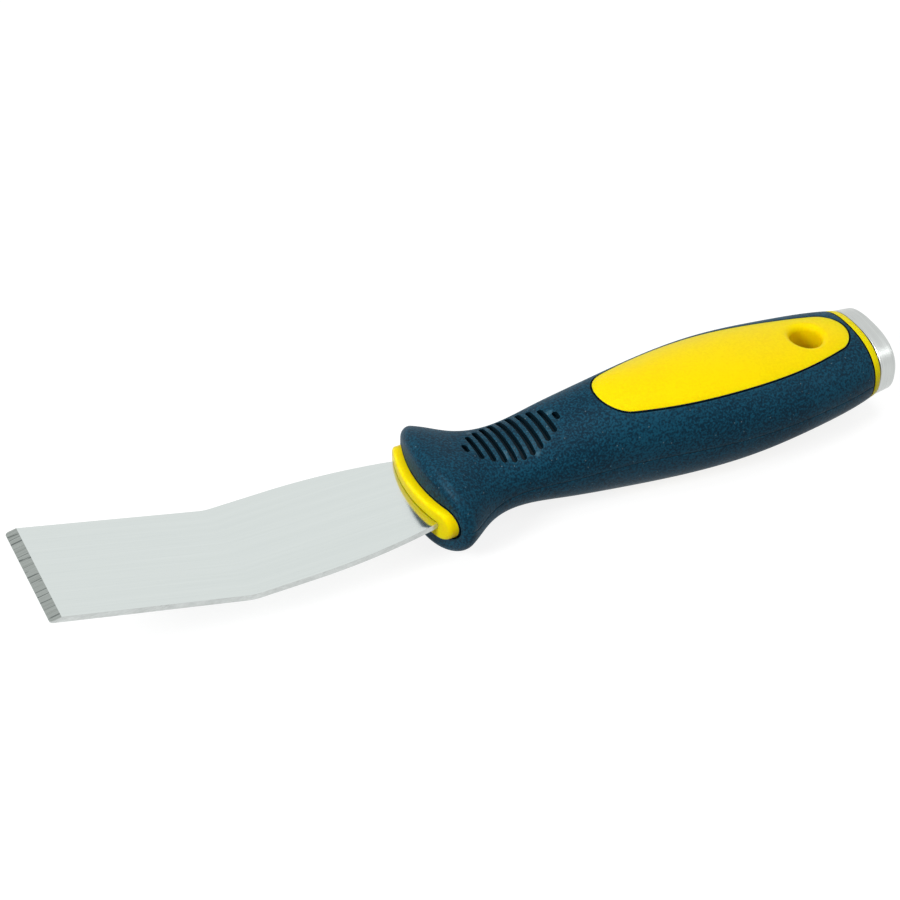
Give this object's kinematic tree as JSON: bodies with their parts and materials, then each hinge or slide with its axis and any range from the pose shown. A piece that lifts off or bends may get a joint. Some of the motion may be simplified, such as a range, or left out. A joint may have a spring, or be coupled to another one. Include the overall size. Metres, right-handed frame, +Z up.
{
  "type": "offset scraper",
  "caption": "Offset scraper: bent bevelled steel blade, full tang in a yellow hard core with a dark soft grip, hanging hole and steel strike cap.",
  "frame": {"origin": "middle of the flat strike face at the handle's end", "axes": "+X along the handle to the blade's tip, +Y across the handle, +Z up, on the side the blade bends to"},
  "size_m": [0.2252, 0.0367, 0.0286],
  "materials": {
    "blade_steel": "bright polished flats, ground bevel",
    "core_plastic": "smooth satin moulding",
    "grip_rubber": "fine matte moulding",
    "cap_steel": "satin brushed"
  },
  "bodies": {
    "root": {"blade": "blade_steel", "handle_core": "core_plastic", "soft_grip": "grip_rubber", "strike_cap": "cap_steel"}
  },
  "joints": []
}
